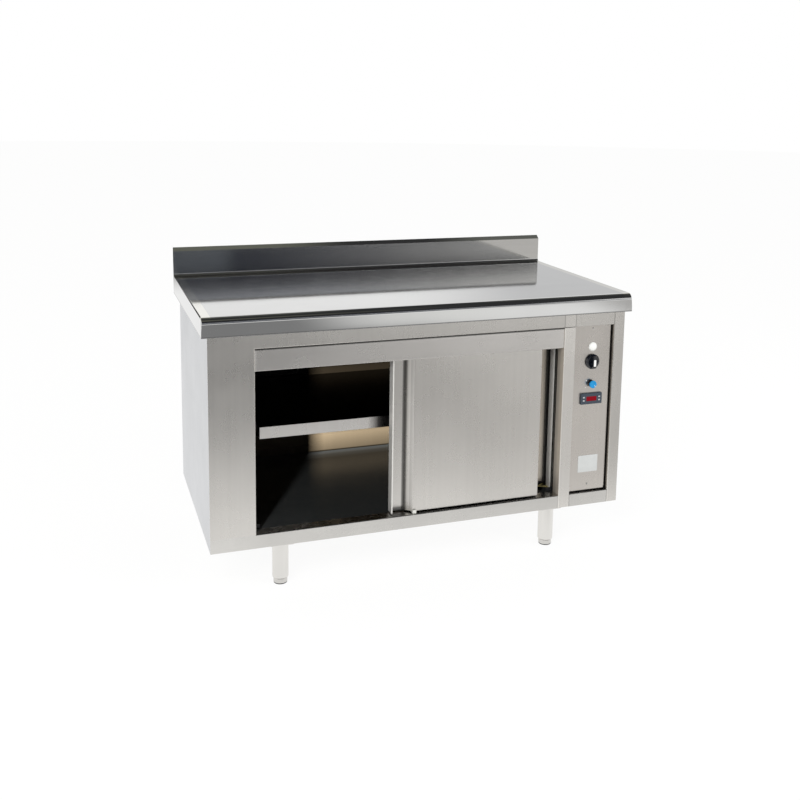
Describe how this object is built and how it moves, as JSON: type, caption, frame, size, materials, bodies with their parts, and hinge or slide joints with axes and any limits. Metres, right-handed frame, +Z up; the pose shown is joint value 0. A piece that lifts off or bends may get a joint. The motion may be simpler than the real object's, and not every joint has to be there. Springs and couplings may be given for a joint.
{
  "type": "plate warmer cabinet",
  "caption": "Stainless heated plate cabinet with a worktop and upstand, sliding doors, an inner shelf, a control bay at the right end and round adjustable legs.",
  "frame": {"origin": "on the floor under the middle of the worktop, at the centre of the bounding box's bottom face", "axes": "+X along the front towards the control bay, +Y from the front to the back, +Z up"},
  "size_m": [1.4, 0.7, 0.95],
  "materials": {
    "stainless": "brushed satin",
    "stainless_top": "satin worktop finish",
    "stainless_inner": "dull inner finish",
    "leg_steel": "polished tube",
    "foot_steel": "satin turned",
    "galvanised": "zinc coated",
    "chipboard": "raw board",
    "mineral_wool": "soft fibre",
    "nylon_white": "moulded",
    "nylon_dark": "moulded",
    "black_plastic": "moulded gloss",
    "blue_plastic": "moulded gloss",
    "lamp_white": "moulded lens",
    "button_white": "moulded",
    "controller_grey": "moulded",
    "red_window": "tinted filter",
    "plate_white": "bare enamelled plate",
    "switch_body": "moulded",
    "motor_black": "painted",
    "element_steel": "heat tinted sheath"
  },
  "bodies": {
    "root": {"worktop": "stainless_top", "worktop_core": "chipboard", "worktop_stiffeners": "galvanised", "upstand": "stainless_top", "left_side_panel": "stainless", "right_side_panel": "stainless", "back_panel": "stainless", "bottom_pan": "stainless", "left_stile": "stainless", "right_stile": "stainless", "centre_post": "stainless", "top_rail": "stainless", "bottom_rail": "stainless", "door_fascia": "stainless", "cabinet_floor": "stainless_inner", "inner_left_wall": "stainless_inner", "inner_right_wall": "stainless_inner", "inner_back": "stainless_inner", "inner_ceiling": "stainless_inner", "insulation": "mineral_wool", "shelf": "stainless_inner", "shelf_rails": "stainless_inner", "door_track": "galvanised", "door_guides": "nylon_white", "control_panel": "stainless", "panel_screws": "leg_steel", "blank_plate": "plate_white", "pilot_lamp": "lamp_white", "main_switch": "switch_body", "thermostat": "switch_body", "controller": "controller_grey", "controller_window": "red_window", "fan_motor": "motor_black", "heating_element": "element_steel", "terminal_block": "switch_body", "cable_gland": "nylon_dark", "legs": "leg_steel"},
    "left_door": {"left_door_skin": "stainless", "left_door_back": "stainless_inner", "left_door_insulation": "mineral_wool", "left_door_hangers": "galvanised"},
    "left_door_wheel_a": {"left_door_wheel_a": "nylon_dark"},
    "left_door_wheel_b": {"left_door_wheel_b": "nylon_dark"},
    "right_door": {"right_door_skin": "stainless", "right_door_back": "stainless_inner", "right_door_insulation": "mineral_wool", "right_door_hangers": "galvanised"},
    "right_door_wheel_a": {"right_door_wheel_a": "nylon_dark"},
    "right_door_wheel_b": {"right_door_wheel_b": "nylon_dark"},
    "main_knob": {"main_knob": "black_plastic"},
    "thermostat_knob": {"thermostat_knob": "blue_plastic"},
    "button_a": {"controller_button_a": "button_white"},
    "button_b": {"controller_button_b": "button_white"},
    "button_c": {"controller_button_c": "button_white"},
    "button_d": {"controller_button_d": "button_white"},
    "fan_impeller": {"fan_impeller": "galvanised"},
    "foot_front_left": {"foot_front_left": "foot_steel"},
    "foot_front_right": {"foot_front_right": "foot_steel"},
    "foot_rear_left": {"foot_rear_left": "foot_steel"},
    "foot_rear_right": {"foot_rear_right": "foot_steel"}
  },
  "joints": [
    {"name": "left_door_slide", "type": "slide", "parent": "root", "child": "left_door", "axis": [1, 0, 0], "range_m": [-0.427, 0]},
    {"name": "right_door_slide", "type": "slide", "parent": "root", "child": "right_door", "axis": [1, 0, 0], "range_m": [-0.427, 0]},
    {"name": "left_wheel_a_roll", "type": "hinge", "parent": "left_door", "child": "left_door_wheel_a", "pos_m": [-0.0265, -0.315, 0.727], "axis": [0, 1, 0], "range_deg": [-2800, 60]},
    {"name": "left_wheel_b_roll", "type": "hinge", "parent": "left_door", "child": "left_door_wheel_b", "pos_m": [0.3025, -0.315, 0.727], "axis": [0, 1, 0], "range_deg": [-2800, 60]},
    {"name": "right_wheel_a_roll", "type": "hinge", "parent": "right_door", "child": "right_door_wheel_a", "pos_m": [0.3705, -0.274, 0.727], "axis": [0, 1, 0], "range_deg": [-2800, 60]},
    {"name": "right_wheel_b_roll", "type": "hinge", "parent": "right_door", "child": "right_door_wheel_b", "pos_m": [0.0415, -0.274, 0.727], "axis": [0, 1, 0], "range_deg": [-2800, 60]},
    {"name": "main_knob_turn", "type": "hinge", "parent": "root", "child": "main_knob", "pos_m": [0.573, -0.327, 0.625], "axis": [0, 1, 0], "range_deg": [0, 90]},
    {"name": "thermostat_knob_turn", "type": "hinge", "parent": "root", "child": "thermostat_knob", "pos_m": [0.573, -0.327, 0.55], "axis": [0, 1, 0], "range_deg": [0, 270]},
    {"name": "button_a_press", "type": "slide", "parent": "root", "child": "button_a", "axis": [0, 1, 0], "range_m": [0, 0.001], "stiffness_N_per_m": 500, "springref_m": -0.0005},
    {"name": "button_b_press", "type": "slide", "parent": "root", "child": "button_b", "axis": [0, 1, 0], "range_m": [0, 0.001], "stiffness_N_per_m": 500, "springref_m": -0.0005},
    {"name": "button_c_press", "type": "slide", "parent": "root", "child": "button_c", "axis": [0, 1, 0], "range_m": [0, 0.001], "stiffness_N_per_m": 500, "springref_m": -0.0005},
    {"name": "button_d_press", "type": "slide", "parent": "root", "child": "button_d", "axis": [0, 1, 0], "range_m": [0, 0.001], "stiffness_N_per_m": 500, "springref_m": -0.0005},
    {"name": "fan_spin", "type": "hinge", "parent": "root", "child": "fan_impeller", "pos_m": [-0.5665, -0.024, 0.4625], "axis": [1, 0, 0], "continuous": true},
    {"name": "foot_front_left_turn", "type": "hinge", "parent": "root", "child": "foot_front_left", "pos_m": [-0.465, -0.3, 0], "axis": [0, 0, 1], "continuous": true},
    {"name": "foot_front_right_turn", "type": "hinge", "parent": "root", "child": "foot_front_right", "pos_m": [0.438, -0.3, 0], "axis": [0, 0, 1], "continuous": true},
    {"name": "foot_rear_left_turn", "type": "hinge", "parent": "root", "child": "foot_rear_left", "pos_m": [-0.465, 0.289, 0], "axis": [0, 0, 1], "continuous": true},
    {"name": "foot_rear_right_turn", "type": "hinge", "parent": "root", "child": "foot_rear_right", "pos_m": [0.438, 0.289, 0], "axis": [0, 0, 1], "continuous": true}
  ],
  "couplings": [
    {"joint": "left_wheel_a_roll", "follows": "left_door_slide", "rad_per_m": 111.11},
    {"joint": "left_wheel_b_roll", "follows": "left_door_slide", "rad_per_m": 111.11},
    {"joint": "right_wheel_a_roll", "follows": "right_door_slide", "rad_per_m": 111.11},
    {"joint": "right_wheel_b_roll", "follows": "right_door_slide", "rad_per_m": 111.11}
  ]
}
